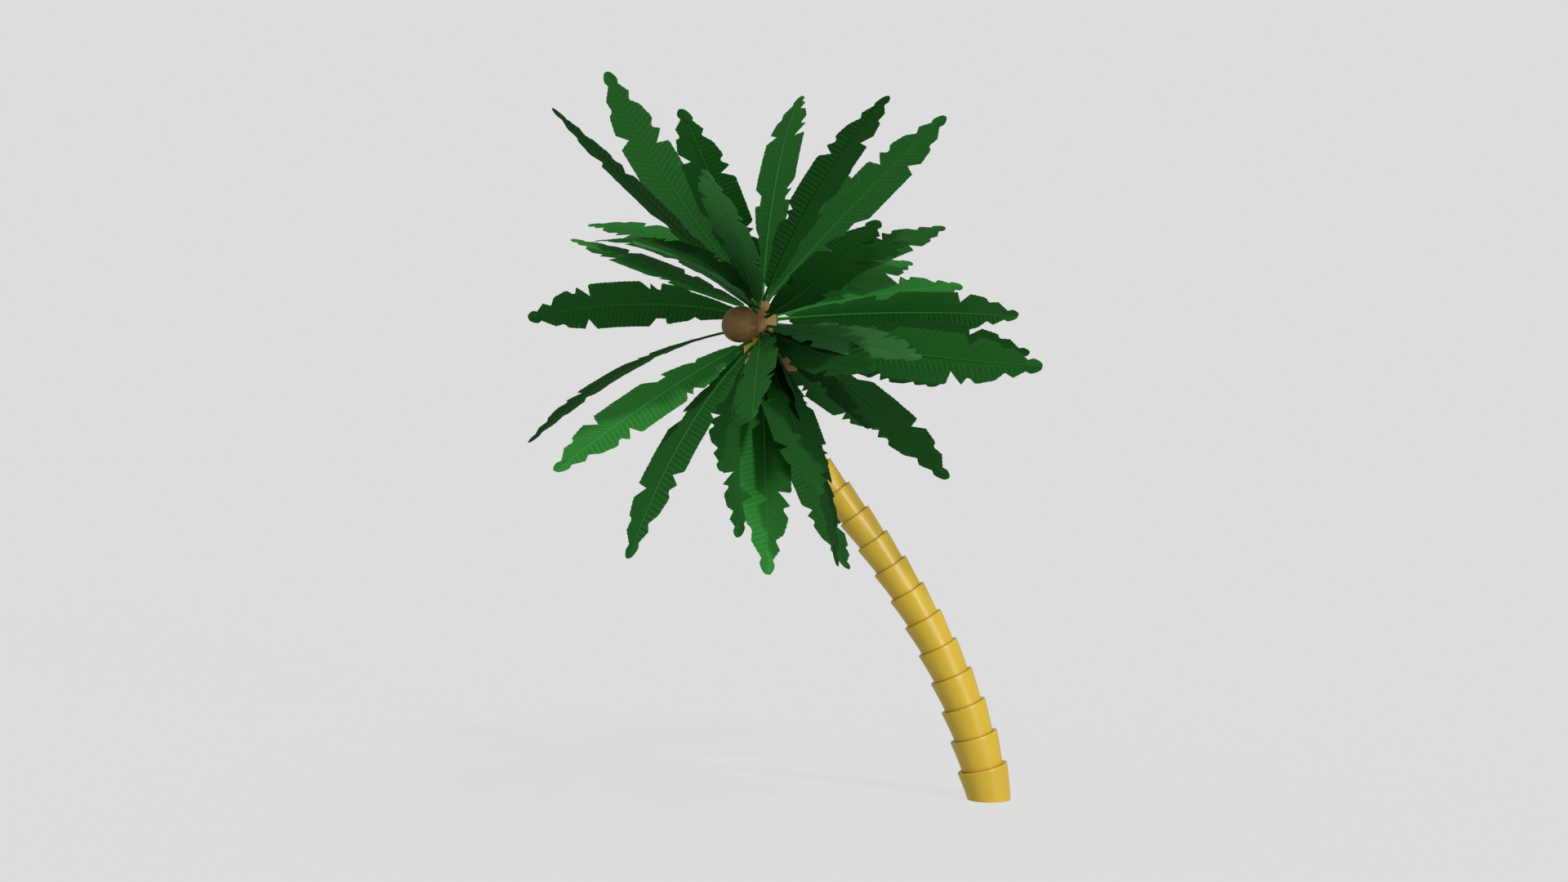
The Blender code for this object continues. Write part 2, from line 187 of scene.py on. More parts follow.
# Finishes: scales of the noise for each direction of the grain, the range of it that is
# used, factors of the darker and the lighter colour, and a bump's height and strength
BROAD_DETAIL = 3.0
STREAK_DETAIL = 5.0
BARK_ROUGHNESS = 0.37
BARK_PATCHES = (5.0, 5.0, 2.2)
BARK_PATCH_RANGE = (0.40, 0.90)
BARK_STREAKS = (90.0, 90.0, 3.0)
BARK_STREAK_RANGE = (0.55, 1.25)
BARK_BUMP = (0.00005, 0.3)
HEAD_STREAKS = (110.0, 110.0, 9.0)
HEAD_ROUGHNESS = 0.75
HUSK_STREAKS = (60.0, 60.0, 7.0)
HUSK_ROUGHNESS = 0.6
CALYX_STREAKS = (80.0, 80.0, 20.0)
CALYX_ROUGHNESS = 0.8
FIBRE_RANGE = (0.35, 0.65)
FIBRE_FACTORS = (0.62, 1.15)
FIBRE_SPOTS = (14.0, 14.0, 14.0)
FIBRE_SPOT_RANGE = (0.35, 0.70)
FIBRE_SPOT_FACTOR = 0.8
FIBRE_BUMP = (0.003, 0.6)
LEAF_VEINS = (240.0, 5.0, 1.0)
VEIN_DETAIL = 2.0
VEIN_RANGE = (0.3, 0.7)
VEIN_FACTORS = (0.88, 1.12)
VEIN_BUMP = (0.0006, 0.5)
LEAF_ROUGHNESS = 0.7
LEAF_SPECULAR = 0.04
RIB_ROUGHNESS = 0.6
RIB_FACTOR = 1.3

# Stage: the floor's reach to each side, and how wide each lamp looks
FLOOR_REACH = 300.0
KEY_WIDTH = 4.0
SOFT_WIDTH = 16.0

SHARP_ANGLE = 20.0
SEED = 7
UP = np.array([0.0, 0.0, 1.0])
AWAY = np.array([0.0, 1.0, 0.0])

# heading: 0 points at the viewer, 90 to the viewer's right, 180 away, -90 to the left
# lift and sink: the rib's rise above level where it starts and where it ends
# roll: turn of the blade about its rib
# hand: the side with FIRST_OUTLINE, 1 right or -1 left, seen from above and looking outward
# shade: which of the leaf colours the frond gets, with the light or shade painted on that frond
Frond = namedtuple("Frond", "node heading lift sink roll hand shade")
FRONDS = (
    Frond("frond_top_1", -15, 35, 29, -8, 1, "light"),
    Frond("frond_top_2", -9, 24, 17, -32, 1, "pale"),
    Frond("frond_top_3", 28, 48, 24, 9, -1, "dark"),
    Frond("frond_top_4", 121, 46, 40, 35, 1, "dark"),
    Frond("frond_top_5", 167, 75, 33, -27, -1, "middle"),
    Frond("frond_top_6", -115, 47, 61, -45, -1, "dark"),
    Frond("frond_top_7", -49, 35, 35, -12, 1, "dark"),
    Frond("frond_top_8", 158, 33, 39, -21, 1, "middle"),
    Frond("frond_upper_1", 20, 8, 18, -12, 1, "middle"),
    Frond("frond_upper_2", 25, 16, 3, -10, 1, "light"),
    Frond("frond_upper_3", -21, 17, 1, -22, 1, "grey"),
    Frond("frond_upper_4", -28, 26, -7, 3, 1, "bright"),
    Frond("frond_upper_5", 137, 27, 14, 24, 1, "dark"),
    Frond("frond_upper_6", 147, 20, 8, 26, 1, "light"),
    Frond("frond_upper_7", 135, 12, 6, 40, 1, "light"),
    Frond("frond_upper_8", -138, 36, 6, -18, 1, "light"),
    Frond("frond_upper_9", -135, 21, 15, -9, 1, "bright"),
    Frond("frond_level_1", 58, -11, -5, 74, -1, "middle"),
    Frond("frond_level_2", 27, -5, -11, 23, 1, "grey"),
    Frond("frond_level_3", 19, -11, -8, 30, 1, "dark"),
    Frond("frond_level_4", 119, 6, -1, -54, 1, "middle"),
    Frond("frond_level_5", -125, 12, -8, 61, 1, "middle"),
    Frond("frond_level_6", 115, -2, -7, -42, 1, "dark"),
    Frond("frond_level_7", 141, -8, -11, -26, 1, "dark"),
    Frond("frond_level_8", -142, 12, 0, 0, 1, "light"),
    Frond("frond_low_1", -1, -14, -20, 43, 1, "light"),
    Frond("frond_low_2", 11, -27, -30, -10, 1, "dark"),
    Frond("frond_low_3", 2, -32, -58, -22, 1, "bright"),
    Frond("frond_low_4", -40, -21, -29, -23, 1, "bright"),
    Frond("frond_low_5", -31, -28, -56, 8, 1, "middle"),
    Frond("frond_low_6", 20, -23, -69, -49, 1, "deep"),
    Frond("frond_low_7", 38, -19, -35, 18, -1, "deep"),
    Frond("frond_low_8", 151, -21, -15, -19, 1, "middle"),
    Frond("frond_low_9", -119, -6, -38, -6, 1, "dark"),
    Frond("frond_low_10", 154, -57, -41, 19, 1, "bright"),
    Frond("frond_low_11", -173, -26, -59, -24, 1, "light"),
    Frond("frond_low_12", -170, -12, -44, 10, 1, "light"),
    Frond("frond_low_13", 169, -24, -40, 0, 1, "middle"),
)
TIERS = ("top", "upper", "level", "low")

# Shades of a frond, painted light and shade that make each frond lighter or darker as it is lit,
# shaded or in shadow: name, whether it has the grey of a painted sheen, and brightness
SHADES = (("bright", False, 1.7), ("light", False, 1.3), ("middle", False, 1.0),
          ("dark", False, 0.74), ("deep", False, 0.42), ("pale", True, 2.0), ("grey", True, 1.2))
SHADE_NAMES = [name for name, grey, level in SHADES]
# Painted light and shade: each leaflet's two halves take a lighter and a darker copy of the
# frond's green, on top of the shading of the real fold
TONES = (("lit", 1.09), ("shaded", 0.91))

# Where each coconut sits round the head: heading, and rise above level seen from its middle
Coconut = namedtuple("Coconut", "node heading rise")
COCONUTS = (
    Coconut("coconut_1", -35, -6),
    Coconut("coconut_2", -178, 8),
    Coconut("coconut_3", 108, -46),
)


# Settings

class TrunkSettings(bpy.types.PropertyGroup):
    """Looks of the trunk and the head."""
    bark: bpy.props.FloatVectorProperty(
        name="Bark", description="Golden bark of the trunk", subtype="COLOR", size=3,
        default=(0.59, 0.40, 0.022), min=0.0, max=1.0)
    old_bark: bpy.props.FloatVectorProperty(
        name="Old bark", description="Deeper gold of the bark's patches", subtype="COLOR",
        size=3, default=(0.53, 0.34, 0.022), min=0.0, max=1.0)
    # Painted shade: the darker colour in the seam under each cup's lip stands in for the shadow
    # there
    painted_seam_shade: bpy.props.FloatVectorProperty(
        name="Groove", description="Bark in the seam between two cups", subtype="COLOR",
        size=3, default=(0.44, 0.29, 0.02), min=0.0, max=1.0)
    relief: bpy.props.FloatProperty(
        name="Relief", description="Height of the bark's length-ways ridges", unit="LENGTH",
        default=0.0003, min=0.0, max=0.01)
    fibre: bpy.props.FloatVectorProperty(
        name="Head fibre", description="Brown fibre round the head", subtype="COLOR",
        size=3, default=(0.42, 0.25, 0.075), min=0.0, max=1.0)


class FrondSettings(bpy.types.PropertyGroup):
    """Looks of the fronds."""
    leaflets_a_side: bpy.props.IntProperty(
        name="Leaflets a side", description="Leaflets on each side of a frond's rib",
        default=42, min=12, max=80)
    fold: bpy.props.FloatProperty(
        name="Fold", description="Rise of a leaflet's middle over its edges", unit="LENGTH",
        default=0.005, min=0.0, max=0.02)
    point: bpy.props.FloatProperty(
        name="Point", description="Length of the point on a leaflet's end", unit="LENGTH",
        default=0.004, min=0.0, max=0.03)
    leaf: bpy.props.FloatVectorProperty(
        name="Leaf", description="Green of a frond between light and dark",
        subtype="COLOR", size=3, default=(0.0150, 0.104, 0.0158), min=0.0, max=1.0)
    # The grey green paints a sheen, the lamp's reflection, on the fronds that take it
    grey: bpy.props.FloatVectorProperty(
        name="Grey leaf", description="Green of the fronds with a grey bloom",
        subtype="COLOR", size=3, default=(0.027, 0.122, 0.030), min=0.0, max=1.0)


class CoconutSettings(bpy.types.PropertyGroup):
    """Looks of the coconuts."""
    husk: bpy.props.FloatVectorProperty(
        name="Husk", description="Brown husk", subtype="COLOR", size=3,
        default=(0.205, 0.112, 0.024), min=0.0, max=1.0)
    calyx: bpy.props.FloatVectorProperty(
        name="Calyx", description="Dry bracts at the stalk", subtype="COLOR", size=3,
        default=(0.16, 0.11, 0.035), min=0.0, max=1.0)


class StageSettings(bpy.types.PropertyGroup):
    """The floor, the light and the camera."""
    backdrop: bpy.props.FloatProperty(
        name="Backdrop", description="Brightness of the plain backdrop", default=0.723,
        min=0.0, max=1.0)
    fill: bpy.props.FloatProperty(
        name="Fill", description="Brightness of the even light from all sides",
        default=0.50, min=0.0, max=5.0)
    key: bpy.props.FloatProperty(
        name="Key", description="Strength of the lamp from the upper right", default=1.5,
        min=0.0, max=20.0)
    key_heading: bpy.props.FloatProperty(
        name="Key heading", description="Side the upper lamp stands on, in degrees to the "
        "right of the viewer", default=30.0, min=-180.0, max=180.0)
    key_rise: bpy.props.FloatProperty(
        name="Key rise", description="Height of the upper lamp, in degrees above level",
        default=52.0, min=0.0, max=90.0)
    soft: bpy.props.FloatProperty(
        name="Soft lamp", description="Strength of the wide lamp near the viewer's height",
        default=1.3, min=0.0, max=20.0)
    soft_heading: bpy.props.FloatProperty(
        name="Soft lamp heading", description="Side the wide lamp stands on, in degrees to "
        "the right of the viewer", default=36.0, min=-180.0, max=180.0)
    soft_rise: bpy.props.FloatProperty(
        name="Soft lamp rise", description="Height of the wide lamp, in degrees above level",
        default=8.0, min=0.0, max=90.0)
    shadow: bpy.props.FloatProperty(
        name="Shadow", description="Share of the floor's brightness that a shadow takes away",
        default=0.06, min=0.0, max=1.0)
    camera_distance: bpy.props.FloatProperty(
        name="Camera distance", description="From the camera to the trunk's plane",
        unit="LENGTH", default=18.0, min=1.0, max=100.0)
    camera_height: bpy.props.FloatProperty(
        name="Camera height", description="Height of the camera above the ground",
        unit="LENGTH", default=2.96, min=0.0, max=20.0)
    camera_side: bpy.props.FloatProperty(
        name="Camera side", description="How far the camera stands to the right of the foot",
        unit="LENGTH", default=-1.694, min=-20.0, max=20.0)
    lens: bpy.props.FloatProperty(
        name="Lens", description="Focal length", unit="CAMERA", default=50.0, min=10.0,
        max=300.0)


# Meshes

class Skin:
    """Points, faces, material numbers and grain of one piece, gathered from its shapes.

    Grain is a vector that follows the surface, so that fibres and veins run along it.
    """

    def __init__(self):
        self.points, self.faces, self.tones, self.grain = [], [], [], []
        self.count = 0

    def add(self, points, faces, grain, tones=0):
        """Add a shape: points and grain of equal count, and faces that number the points."""
        self.points.append(points.reshape(-1, 3))
        self.grain.append(grain.reshape(-1, 3))
        self.faces += (faces + self.count).tolist()
        self.tones.append(np.broadcast_to(tones, len(faces)))
        self.count += len(self.points[-1])

    def add_tube(self, points, rows, sides, grain, tone=0, inward=False):
        """Add rings of points that are closed at both ends towards the last two points.

        Inward is for rings that run the other way round, whose faces are turned over.
        """
        base = self.count
        way = -1 if inward else 1
        self.add(points, tube_faces(rows, sides)[:, ::way], grain, tone)
        self.faces += (cap_faces(0, rows * sides, sides)[:, ::-way] + base).tolist()
        self.faces += (cap_faces(rows - 1, rows * sides + 1, sides)[:, ::way] + base).tolist()
        self.tones.append(np.full(2 * sides, tone))

    def make(self, name, materials, slot, nodes):
        """Turn the gathered shapes into a piece that stands for the given nodes."""
        mesh = bpy.data.meshes.new(name)
        mesh.from_pydata(np.concatenate(self.points).tolist(), [], self.faces)
        for material in materials:
            mesh.materials.append(material)
        mesh.polygons.foreach_set("material_index", np.concatenate(self.tones).astype(np.int32))
        grain = mesh.attributes.new("grain", "FLOAT_VECTOR", "POINT")
        grain.data.foreach_set("vector", np.concatenate(self.grain).astype(np.float32).ravel())
        mesh.shade_smooth()
        mesh.set_sharp_from_angle(angle=np.radians(SHARP_ANGLE))
        piece = bpy.data.objects.new(name, mesh)
        bpy.context.scene.collection.objects.link(piece)
        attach(piece, BODY)
        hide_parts(*nodes)
        return piece


def grid_faces(rows, columns):
    """Quads between the neighbours of a grid that is numbered row by row."""
    first = (np.arange(rows - 1)[:, None] * columns + np.arange(columns - 1)).ravel()
    return np.stack([first, first + 1, first + columns + 1, first + columns], 1)


def tube_faces(rows, sides):
    """Quads of a grid of rings, where the last point of a ring meets its first."""
    first = np.arange(rows - 1)[:, None] * sides
    side = np.arange(sides)
    after = (side + 1) % sides
    corners = [first + side, first + after, first + sides + after, first + sides + side]
    return np.stack([corner.ravel() for corner in corners], 1)


def cap_faces(ring, middle, sides):
    """Triangles from a ring's points to a middle point."""
    side = np.arange(sides)
    after = (side + 1) % sides
    start = ring * sides
    return np.stack([start + side, start + after, np.full(sides, middle)], 1)


def sheet_faces(rows, columns):
    """Faces of a closed thin sheet: upper grid, lower grid turned over, and the border."""
    count = rows * columns
    upper = grid_faces(rows, columns)
    number = np.arange(count).reshape(rows, columns)
    border = np.concatenate([number[0, :-1], number[:-1, -1],
                             number[-1, :0:-1], number[:0:-1, 0]])
    after = np.roll(border, -1)
    strip = np.stack([after, border, border + count, after + count], 1)
    return np.concatenate([upper, upper[:, ::-1] + count, strip])


def direction(heading, rise):
    """Unit vectors from headings and rises: level part by the sine and cosine of heading."""
    heading, rise = np.broadcast_arrays(np.radians(heading), np.radians(rise))
    level = np.stack([np.sin(heading), -np.cos(heading), np.zeros_like(heading)], -1)
    return np.cos(rise)[..., None] * level + np.sin(rise)[..., None] * UP


def node_points(node):
    """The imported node's points, as an array."""
    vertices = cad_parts[node].data.vertices
    points = np.empty(3 * len(vertices), np.float32)
    vertices.foreach_get("co", points)
    return points.reshape(-1, 3).astype(float)


# Materials

def new_finish(name, roughness):
    """A material with its shader, and a node that reads the piece's grain."""
    material = bpy.data.materials.new(name)
    material.use_nodes = True
    nodes = material.node_tree.nodes
    shader = nodes["Principled BSDF"]
    shader.inputs["Roughness"].default_value = roughness
    grain = nodes.new("ShaderNodeAttribute")
    grain.attribute_name = "grain"
    return material, shader, grain.outputs["Vector"]


def add_noise(material, vector, scale, detail=BROAD_DETAIL):
    """Noise over a vector that is first stretched by a scale for each of its directions."""
    tree = material.node_tree
    stretch = tree.nodes.new("ShaderNodeMapping")
    stretch.inputs["Scale"].default_value = scale
    noise = tree.nodes.new("ShaderNodeTexNoise")
    noise.inputs["Scale"].default_value = 1.0
    noise.inputs["Detail"].default_value = detail
    tree.links.new(vector, stretch.inputs["Vector"])
    tree.links.new(stretch.outputs["Vector"], noise.inputs["Vector"])
    return noise.outputs["Fac"]


def add_range(material, value, low, high):
    """The value's stretch from low to high spread over 0 to 1, with both ends cut off."""
    spread = material.node_tree.nodes.new("ShaderNodeMapRange")
    spread.inputs["From Min"].default_value = low
    spread.inputs["From Max"].default_value = high
    material.node_tree.links.new(value, spread.inputs["Value"])
    return spread.outputs["Result"]


def add_blend(material, factor, first, second):
    """A colour between two colours, each a socket or three numbers."""
    tree = material.node_tree
    blend = tree.nodes.new("ShaderNodeMix")
    blend.data_type = "RGBA"
    tree.links.new(factor, blend.inputs[0])
    for socket, colour in ((blend.inputs[6], first), (blend.inputs[7], second)):
        if isinstance(colour, bpy.types.NodeSocket):
            tree.links.new(colour, socket)
        else:
            socket.default_value = (*colour, 1.0)
    return blend.outputs[2]


def add_bump(material, shader, height, distance, strength):
    """Fine relief of a given height in metres, on the shader's normal."""
    tree = material.node_tree
    bump = tree.nodes.new("ShaderNodeBump")
    bump.inputs["Distance"].default_value = distance
    bump.inputs["Strength"].default_value = strength
    tree.links.new(height, bump.inputs["Height"])
    tree.links.new(bump.outputs["Normal"], shader.inputs["Normal"])


def shaded(colour, factor):
    """A colour made lighter or darker by a factor."""
    return tuple(min(1.0, factor * part) for part in colour)


def bark_finish(settings):
    """Golden bark: broad patches, fine streaks along the trunk, and a painted shade in the seam
    at each cup.
    """
    material, shader, grain = new_finish("golden_bark", BARK_ROUGHNESS)
    tree = material.node_tree
    bark, old_bark = tuple(settings.bark), tuple(settings.old_bark)
    patches = add_noise(material, grain, BARK_PATCHES)
    streaks = add_noise(material, grain, BARK_STREAKS, STREAK_DETAIL)
    aged = add_range(material, patches, *BARK_PATCH_RANGE)
    faint = add_range(material, streaks, *BARK_STREAK_RANGE)
    colour = add_blend(material, faint, add_blend(material, aged, bark, old_bark), old_bark)
    # The seam attribute carries the painted shade under each cup's lip
    seam = tree.nodes.new("ShaderNodeAttribute")
    seam.attribute_name = "seam"
    colour = add_blend(material, seam.outputs["Fac"], colour, tuple(settings.painted_seam_shade))
    tree.links.new(colour, shader.inputs["Base Color"])
    add_bump(material, shader, streaks, *BARK_BUMP)
    return material


def fibre_finish(name, colour, stretch, roughness):
    """Dull brown fibre: two browns in streaks, a third in spots, and the streaks' relief."""
    material, shader, grain = new_finish(name, roughness)
    streaks = add_noise(material, grain, stretch, STREAK_DETAIL)
    spots = add_range(material, add_noise(material, grain, FIBRE_SPOTS), *FIBRE_SPOT_RANGE)
    dark, light = (shaded(colour, factor) for factor in FIBRE_FACTORS)
    brown = add_blend(material, add_range(material, streaks, *FIBRE_RANGE), dark, light)
    brown = add_blend(material, spots, brown, shaded(colour, FIBRE_SPOT_FACTOR))
    material.node_tree.links.new(brown, shader.inputs["Base Color"])
    add_bump(material, shader, streaks, *FIBRE_BUMP)
    return material


def leaf_finish(name, colour, roughness):
    """Leaf: fine veins along the leaflet in two near greens, with their relief."""
    material, shader, grain = new_finish(name, roughness)
    veins = add_noise(material, grain, LEAF_VEINS, VEIN_DETAIL)
    dark, light = (shaded(colour, factor) for factor in VEIN_FACTORS)
    green = add_blend(material, add_range(material, veins, *VEIN_RANGE), dark, light)
    material.node_tree.links.new(green, shader.inputs["Base Color"])
    shader.inputs["Specular IOR Level"].default_value = LEAF_SPECULAR
    add_bump(material, shader, veins, *VEIN_BUMP)
    return material


def shade_colours(settings):
    """Name and green of each shade of frond, with its painted light or shade; the grey ones carry
    a painted sheen.
    """
    return [(name, shaded(settings.grey if grey else settings.leaf, level))
            for name, grey, level in SHADES]


def leaf_finishes(settings):
    """For each shade, the painted lit and painted shaded tones of a leaflet's halves."""
    return [leaf_finish(f"leaf_{name}_{tone}", shaded(colour, factor), LEAF_ROUGHNESS)
            for name, colour in shade_colours(settings) for tone, factor in TONES]


def rib_finishes(settings):
    """For each shade, with its painted light or shade, the rib's lighter green."""
    return [leaf_finish(f"rib_{name}", shaded(colour, RIB_FACTOR), RIB_ROUGHNESS)
            for name, colour in shade_colours(settings)]


# Trunk and head

def cup_ends():
    """Distances along the trunk at which the cups end, from the ground up."""
    share = np.arange(CUP_COUNT) / (CUP_COUNT - 1)
    lengths = FOOT_CUP_LENGTH + (TIP_CUP_LENGTH - FOOT_CUP_LENGTH) * share
    return np.concatenate([[0.0], np.cumsum(lengths)])


TRUNK_LENGTH = cup_ends()[-1]


def lean_at(along):
    """Lean from upright: a quarter sine up to the steepest place, then a cosine back."""
    rising = np.sin(0.5 * np.pi * along / STEEPEST_AT)
    left = np.clip((along - STEEPEST_AT) / (TRUNK_LENGTH - STEEPEST_AT), 0.0, 1.0)
    easing = np.cos(0.5 * np.pi * left)
    return np.where(along < STEEPEST_AT, FOOT_LEAN + (STEEPEST_LEAN - FOOT_LEAN) * rising,
                    TIP_LEAN + (STEEPEST_LEAN - TIP_LEAN) * easing)


def axis_point(along):
    """The trunk's middle line: short steps in the direction of the lean, summed."""
    places = np.linspace(0.0, TRUNK_LENGTH, AXIS_STEPS + 1)
    lean = np.radians(lean_at(0.5 * (places[1:] + places[:-1])))
    step = TRUNK_LENGTH / AXIS_STEPS
    left = np.concatenate([[0.0], np.cumsum(-step * np.sin(lean))])
    up = np.concatenate([[0.0], np.cumsum(step * np.cos(lean))])
    level = np.zeros_like(along)
    return np.stack([np.interp(along, places, left), level, np.interp(along, places, up)], -1)


def rim_radius(along):
    """Radius of a cup's rim: it falls by a power of the length that is left above it."""
    left = 1.0 - along / TRUNK_LENGTH
    return TIP_RIM_RADIUS + (FOOT_RIM_RADIUS - TIP_RIM_RADIUS) * left ** TAPER_POWER


def head_middle():
    """The head's middle: past the trunk's end, along the lean of its tip."""
    lean = np.radians(TIP_LEAN)
    onward = np.array([-np.sin(lean), 0.0, np.cos(lean)])
    return axis_point(np.array(TRUNK_LENGTH)) + HEAD_SINK * HEAD_HALF_HEIGHT * onward


def cup_profile():
    """Distance along, radius, place in the cup and cup number for each row of the trunk.

    A cup flares from its neck by a power of the place, and ends in a quarter-round lip.
    """
    ends = cup_ends()
    low, high = ends[:-1, None], ends[1:, None]
    start = low - CUP_RECESS * (low > 0.0)
    rim = rim_radius(high)
    place = np.linspace(0.0, 1.0, FLARE_ROWS)
    turn = np.linspace(0.0, 0.5 * np.pi, LIP_ROWS)[1:]
    flare = start + (high - LIP_BEVEL - start) * place
    lip = high - LIP_BEVEL * (1.0 - np.sin(turn))
    flare_radius = rim * (CUP_NECK_SHARE + (1.0 - CUP_NECK_SHARE) * place ** FLARE_POWER)
    lip_radius = rim - LIP_BEVEL * (1.0 - np.cos(turn))
    along = np.concatenate([flare, lip], 1)
    radius = np.concatenate([flare_radius, lip_radius], 1)
    place = np.broadcast_to(np.concatenate([place, np.ones(LIP_ROWS - 1)]), along.shape)
    number = np.broadcast_to(np.arange(CUP_COUNT)[:, None], along.shape)
    return along.ravel(), radius.ravel(), place.ravel(), number.ravel()


def bark_relief(turn, along, place, number, height):
    """Radial relief: two sets of ridges that wander along the trunk, and a wavy rim.

    The ridges fade towards a cup's ends by the root of a half sine of the place in the cup.
    """
    phase = CUP_PHASE * number
    coarse = np.sin(COARSE_FIBRES * turn + COARSE_SWING * np.sin(COARSE_WAVES * along) + phase)
    fine = np.sin(FINE_FIBRES * turn - FINE_SWING * np.sin(FINE_WAVES * along + phase))
    fade = np.sqrt(np.sin(np.pi * np.minimum(place, RELIEF_END)))
    ridges = height * (COARSE_SHARE * coarse + FINE_SHARE * fine) * fade
    return ridges + RIM_WAVE * place * np.sin(RIM_WAVES * turn + RIM_PHASE * phase)


def level_fade(along):
    """Share of the lean and the relief: none at the level foot, and full soon above it."""
    return np.minimum(along / LEVEL_FOOT_LENGTH, 1.0)


def trunk_points(along, reach, turn):
    """Rings square to the bent axis, but level at the ground, and the middle of each end."""
    lean = np.radians(lean_at(along) * level_fade(along))
    across = np.stack([np.cos(lean), np.zeros_like(lean), np.sin(lean)], -1)
    round_way = (np.cos(turn)[None, :, None] * across[:, None]
                 + np.sin(turn)[None, :, None] * AWAY)
    axis = axis_point(along)
    rings = axis[:, None] + reach[..., None] * round_way
    return np.concatenate([rings.reshape(-1, 3), [[0.0, 0.0, 0.0]], axis[-1:]])


def trunk_grain(along, reach, turn):
    """The same points on a straight upright trunk, so that the bark's pattern runs along it."""
    rings = np.stack([reach * np.cos(turn), reach * np.sin(turn),
                      np.broadcast_to(along[:, None], reach.shape)], -1)
    return np.concatenate([rings.reshape(-1, 3), [[0.0, 0.0, 0.0]], [[0.0, 0.0, TRUNK_LENGTH]]])


def add_seam_shade(piece, along, place):
    """Give each point its share of the painted shade in the seam: full at a cup's neck, none
    above it.
    """
    share = np.clip(1.0 - place / SEAM_SHADE_SHARE, 0.0, 1.0) * (along > LEVEL_FOOT_LENGTH)
    values = np.concatenate([np.repeat(share, TRUNK_SIDES), [0.0, 0.0]])
    attribute = piece.data.attributes.new("seam", "FLOAT", "POINT")
    attribute.data.foreach_set("value", values.astype(np.float32))


def build_trunk(settings):
    """Rings round the bent axis, with the cups' radius and the bark's relief."""
    along, radius, place, number = cup_profile()
    turn = 2.0 * np.pi * np.arange(TRUNK_SIDES) / TRUNK_SIDES
    relief = bark_relief(turn[None], along[:, None], place[:, None], number[:, None],
                         settings.relief)
    reach = radius[:, None] + relief * level_fade(along)[:, None]
    skin = Skin()
    skin.add_tube(trunk_points(along, reach, turn), len(along), TRUNK_SIDES,
                  trunk_grain(along, reach, turn))
    piece = skin.make("trunk_bark", [bark_finish(settings)], "bark", ["trunk"])
    add_seam_shade(piece, along, place)


def build_head(settings):
    """The head: an upright ellipsoid with ridges that run from its foot to its top."""
    rise = np.linspace(-np.arcsin(HEAD_SINK), 0.5 * np.pi, HEAD_ROWS + 1)[:-1]
    turn = 2.0 * np.pi * np.arange(HEAD_SIDES) / HEAD_SIDES
    wander = HEAD_SWING * np.sin(HEAD_WAVES * rise)[:, None]
    ridges = np.abs(np.sin(0.5 * HEAD_FIBRES * turn + wander)) - 0.5
    reach = (HEAD_RADIUS + HEAD_RELIEF * ridges) * np.cos(rise)[:, None]
    height = np.broadcast_to(HEAD_HALF_HEIGHT * np.sin(rise)[:, None], reach.shape)
    local = np.stack([reach * np.cos(turn), reach * np.sin(turn), height], -1).reshape(-1, 3)
    ends = np.array([[0.0, 0.0, -HEAD_SINK * HEAD_HALF_HEIGHT], [0.0, 0.0, HEAD_HALF_HEIGHT]])
    local = np.concatenate([local, ends])
    skin = Skin()
    skin.add_tube(head_middle() + local, HEAD_ROWS, HEAD_SIDES, local)
    finish = fibre_finish("head_fibre", tuple(settings.fibre), HEAD_STREAKS, HEAD_ROUGHNESS)
    skin.make("head_fibre", [finish], "husk", ["trunk"])


# Coconuts

def nut_axes(nut):
    """Where the nut's stalk starts, and its outward, across and upward directions."""
    outward = direction(nut.heading, nut.rise)
    across = np.cross(outward, UP)
    across /= np.linalg.norm(across)
    start = head_middle() + HEAD_HALF_HEIGHT * outward
    slide = ((node_points(nut.node) - start) @ outward).min()
    return start + slide * outward, outward, across, np.cross(across, outward)


def husk_surface(turn, angle):
    """Distance outward and radius of the husk: an ellipse with three soft ridges."""
    outward = NUT_STALK_LENGTH + NUT_HALF_LENGTH * (1.0 - np.cos(turn))
    ridge = NUT_RIDGE * (np.cos(NUT_RIDGES * angle) - 1.0) * np.sin(turn)
    return np.broadcast_arrays(outward, NUT_RADIUS * np.sin(turn) * (1.0 + ridge))


def add_husk(skin, nut):
    """The stalk and the husk as one skin of rings round the outward direction."""
    start, outward, across, upward = nut_axes(nut)
    angle = 2.0 * np.pi * np.arange(NUT_SIDES) / NUT_SIDES
    first_turn = np.arcsin(NUT_STALK_RADIUS / NUT_RADIUS)
    turn = np.linspace(first_turn, np.pi, NUT_ROWS + 1)[:-1, None]
    distance, radius = husk_surface(turn, angle)
    distance = np.concatenate([np.zeros((1, NUT_SIDES)), distance])
    radius = np.concatenate([np.full((1, NUT_SIDES), NUT_STALK_RADIUS), radius])
    round_way = np.cos(angle)[:, None] * upward + np.sin(angle)[:, None] * across
    rings = start + distance[..., None] * outward + radius[..., None] * round_way
    far = NUT_STALK_LENGTH + 2.0 * NUT_HALF_LENGTH
    points = np.concatenate([rings.reshape(-1, 3), [start], [start + far * outward]])
    local = np.stack([radius * np.cos(angle), radius * np.sin(angle), distance], -1)
    grain = np.concatenate([local.reshape(-1, 3), [[0.0, 0.0, 0.0]], [[0.0, 0.0, far]]])
    skin.add_tube(points, NUT_ROWS + 1, NUT_SIDES, grain)


